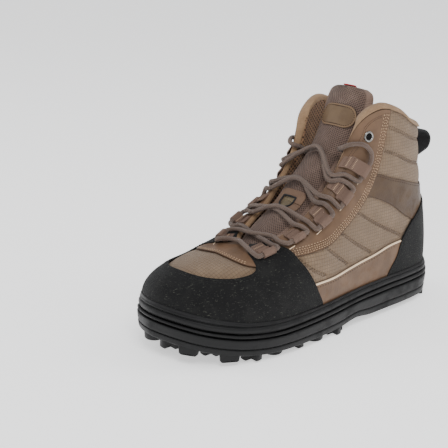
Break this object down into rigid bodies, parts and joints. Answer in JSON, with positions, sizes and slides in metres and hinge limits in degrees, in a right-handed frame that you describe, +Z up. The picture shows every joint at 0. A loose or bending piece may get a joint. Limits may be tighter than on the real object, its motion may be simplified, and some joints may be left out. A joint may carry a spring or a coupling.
{
  "type": "wading boot",
  "caption": "Lace-up fishing boot with a lugged rubber sole, ankle-high fabric upper with suede guards at toe and heel, webbing lace loops and a padded tongue.",
  "frame": {"origin": "on the floor, in the middle of the footprint box, pull loop included", "axes": "+X points to the toe, +Y to the outer side of the foot (the wearer's left), +Z up"},
  "size_m": [0.3214, 0.1208, 0.2058],
  "materials": {
    "outsole": "moulded",
    "midsole": "moulded",
    "insole": "flat",
    "upper": "woven",
    "tongue": "mesh",
    "toe_cap": "suede",
    "heel_counter": "suede",
    "vamp_plate": "smooth",
    "eyestay_lateral": "smooth",
    "eyestay_medial": "smooth",
    "side_panel_lateral": "smooth",
    "side_panel_medial": "smooth",
    "ankle_band": "smooth",
    "tongue_patch": "smooth",
    "lace_keeper": "woven",
    "tongue_top_tab": "woven",
    "laces": "braided",
    "lace_end_lateral": "braided",
    "lace_end_medial": "braided",
    "pull_loop": "woven",
    "eyelet_lateral": "bright",
    "eyelet_medial": "bright",
    "drain_eyelet_front": "bright",
    "drain_eyelet_rear": "bright",
    "tab_lateral_1": "woven",
    "tab_lateral_2": "woven",
    "tab_lateral_3": "woven",
    "tab_lateral_4": "woven",
    "tab_lateral_5": "woven",
    "tab_medial_1": "woven",
    "tab_medial_2": "woven",
    "tab_medial_3": "woven",
    "tab_medial_4": "woven",
    "tab_medial_5": "woven"
  },
  "bodies": {
    "root": {"outsole": "outsole", "midsole": "midsole", "insole": "insole", "upper": "upper", "tongue": "tongue", "toe_cap": "toe_cap", "heel_counter": "heel_counter", "vamp_plate": "vamp_plate", "eyestay_lateral": "eyestay_lateral", "eyestay_medial": "eyestay_medial", "side_panel_lateral": "side_panel_lateral", "side_panel_medial": "side_panel_medial", "ankle_band": "ankle_band", "tongue_patch": "tongue_patch", "lace_keeper": "lace_keeper", "tongue_top_tab": "tongue_top_tab", "laces": "laces", "lace_end_lateral": "lace_end_lateral", "lace_end_medial": "lace_end_medial", "pull_loop": "pull_loop", "eyelet_lateral": "eyelet_lateral", "eyelet_medial": "eyelet_medial", "drain_eyelet_front": "drain_eyelet_front", "drain_eyelet_rear": "drain_eyelet_rear", "tab_lateral_1": "tab_lateral_1", "tab_lateral_2": "tab_lateral_2", "tab_lateral_3": "tab_lateral_3", "tab_lateral_4": "tab_lateral_4", "tab_lateral_5": "tab_lateral_5", "tab_medial_1": "tab_medial_1", "tab_medial_2": "tab_medial_2", "tab_medial_3": "tab_medial_3", "tab_medial_4": "tab_medial_4", "tab_medial_5": "tab_medial_5"}
  },
  "joints": []
}
